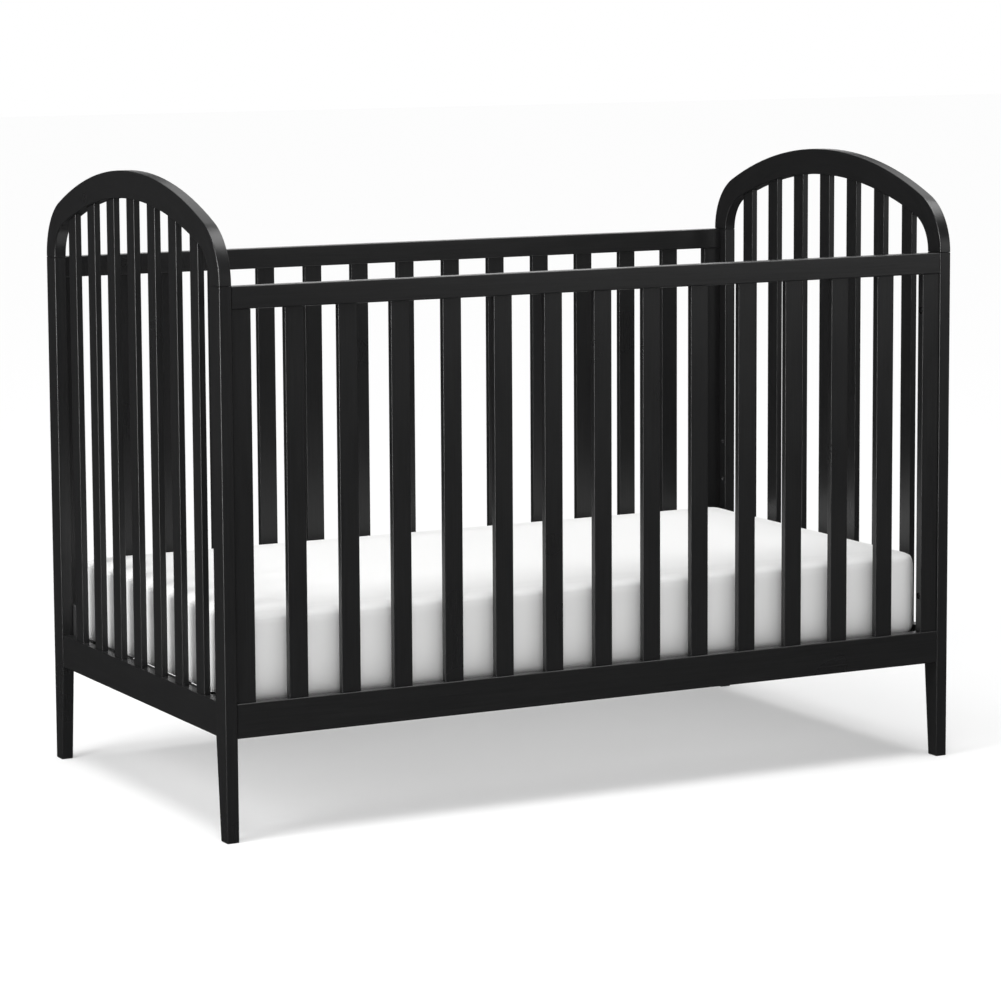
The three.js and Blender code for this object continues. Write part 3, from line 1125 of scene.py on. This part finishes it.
@dataclass
class Studio:
    """A pale floor, a white surround, soft lights and the camera."""

    floor_size: float = 60.0
    floor_colour: float = 0.60
    floor_glow: float = 0.325
    surround: float = 0.30
    mirrored_surround: float = 0.05
    camera_place: tuple[float, float, float] = (-2.925, -5.574, 1.353)
    camera_yaw: float = 0.4838  # to the right of +Y
    camera_pitch: float = 0.1199  # below the horizon
    camera_roll: float = 0.0057
    lens: float = 131.06
    shift_up: float = -0.08

    def build(self) -> None:
        """Sets the studio up."""
        bpy.context.scene.view_settings.view_transform = "Standard"
        self.lay_floor()
        self.light_surround()
        self.hang_lights()
        self.set_camera()

    def lay_floor(self) -> None:
        """A pale matt floor that glows a little, so that shadows on it stay light."""
        bm = bmesh.new()
        bmesh.ops.create_grid(bm, x_segments=1, y_segments=1, size=self.floor_size / 2)
        floor = bench_object(bm, "studio_floor")
        bench = NodeBench("pale_floor")
        pale, white = (self.floor_colour,) * 3, (1.0, 1.0, 1.0)
        floor.data.materials.append(bench.dress(
            Base_Color=(*pale, 1.0), Roughness=1.0, Specular_IOR_Level=0.0,
            Emission_Color=(*white, 1.0), Emission_Strength=self.floor_glow,
        ))
        floor.visible_glossy = False

    def light_surround(self) -> None:
        """A surround that the camera sees white, that lights softly and that gloss mirrors darker."""
        world = bpy.data.worlds.new("surround")
        bpy.context.scene.world = world
        world.use_nodes = True
        tree = world.node_tree
        tree.nodes.clear()
        rays = tree.nodes.new("ShaderNodeLightPath")
        seen = self.backdrop(tree, self.surround)
        for ray, strength in (("Is Glossy Ray", self.mirrored_surround), ("Is Camera Ray", 1.0)):
            mix = tree.nodes.new("ShaderNodeMixShader")
            tree.links.new(rays.outputs[ray], mix.inputs[0])
            tree.links.new(seen, mix.inputs[1])
            tree.links.new(self.backdrop(tree, strength), mix.inputs[2])
            seen = mix.outputs[0]
        tree.links.new(seen, tree.nodes.new("ShaderNodeOutputWorld").inputs[0])

    def backdrop(self, tree: bpy.types.NodeTree, strength: float) -> bpy.types.NodeSocket:
        """An even white backdrop of some strength."""
        node = tree.nodes.new("ShaderNodeBackground")
        node.inputs["Color"].default_value = (1.0, 1.0, 1.0, 1.0)
        node.inputs["Strength"].default_value = strength
        return node.outputs[0]

    def hang_lights(self) -> None:
        """A broad light overhead, and tall soft panels to the left and before the crib."""
        key = bpy.data.lights.new("overhead", "SUN")
        key.energy, key.angle = 2.5, math.radians(36)
        self.aim("overhead", key, (-0.25, -0.5, 5.0), (0, 0, 0))
        self.panel("left_panel", (-3.6, -0.9, 2.3), (1.6, 2.2), 85.0)
        self.panel("front_panel", (-2.2, -5.0, 2.4), (2.5, 2.0), 50.0)
        self.panel("shoulder_card", (1.7, -0.7, 4.2), (3.0, 2.6), 130.0, gloss_only=True)
        self.panel("crown_card", (1.9, 2.2, 3.7), (3.4, 2.4), 34.0, gloss_only=True)
        self.panel("edge_card", (-3.6, -0.9, 1.0), (1.2, 2.2), 150.0, gloss_only=True)
        self.panel("rail_card", (2.0, 3.8, 1.4), (4.0, 0.8), 16.0, gloss_only=True)
        self.panel("front_card", (2.3, -3.4, 1.3), (2.4, 1.2), 13.0, gloss_only=True)

    def panel(
        self, name: str, place: Sequence[float], size: Sequence[float], power: float, gloss_only: bool = False
    ) -> None:
        """A soft panel that points at the crib.

        Args:
            name: Its name.
            place: Where it stands.
            size: Its width and height.
            power: Its power in watts.
            gloss_only: Whether it shows only where the paint mirrors it.
        """
        light = bpy.data.lights.new(name, "AREA")
        light.shape, light.size, light.size_y, light.energy = "RECTANGLE", *size, power
        self.aim(name, light, place, (0, 0, 0.5)).visible_diffuse = not gloss_only

    def aim(
        self, name: str, light: bpy.types.Light, place: Sequence[float], at: Sequence[float]
    ) -> bpy.types.Object:
        """Hangs a light at a place, points it at another and returns it."""
        lamp = bpy.data.objects.new(name, light)
        bpy.context.scene.collection.objects.link(lamp)
        lamp.location = place
        lamp.rotation_euler = (Vector(at) - Vector(place)).to_track_quat("-Z", "Y").to_euler()
        lamp.visible_camera = False
        return lamp

    def set_camera(self) -> None:
        """The camera, a little above the crib and to its left."""
        yaw, pitch, roll = self.camera_yaw, self.camera_pitch, self.camera_roll
        ahead = Vector((math.sin(yaw) * math.cos(pitch), math.cos(yaw) * math.cos(pitch), -math.sin(pitch)))
        right = ahead.cross(AXIS_Z).normalized()
        down = ahead.cross(right)
        level, upright = right * math.cos(roll) + down * math.sin(roll), right * math.sin(roll) - down * math.cos(roll)
        data = bpy.data.cameras.new("camera")
        data.sensor_width, data.lens, data.shift_y = 36.0, self.lens, self.shift_up
        camera = bpy.data.objects.new("camera", data)
        bpy.context.scene.collection.objects.link(camera)
        turn = Matrix((level, upright, -ahead)).transposed().to_4x4()
        camera.matrix_world = Matrix.Translation(self.camera_place) @ turn
        bpy.context.scene.camera = camera


def main() -> None:
    """Builds the crib in its studio."""
    logging.basicConfig(level=logging.INFO, format="%(name)s: %(message)s")
    Studio().build()
    paints = {grain: SatinPaint().material(grain) for grain in Grain}
    steel, enamel = PowderCoat().material(), WireEnamel().material()
    fixings = Fixings()
    for side in ("left", "right"):
        CribEnd(side, fixings, paints).build()
    for row in ("front", "back"):
        LongPanel(row, fixings, paints).build()
    Fasteners(fixings, steel, enamel).build()
    MattressSupport(fixings, steel, enamel).build()
    Mattress(WovenCover().material()).build()


if __name__ == "__main__":
    main()
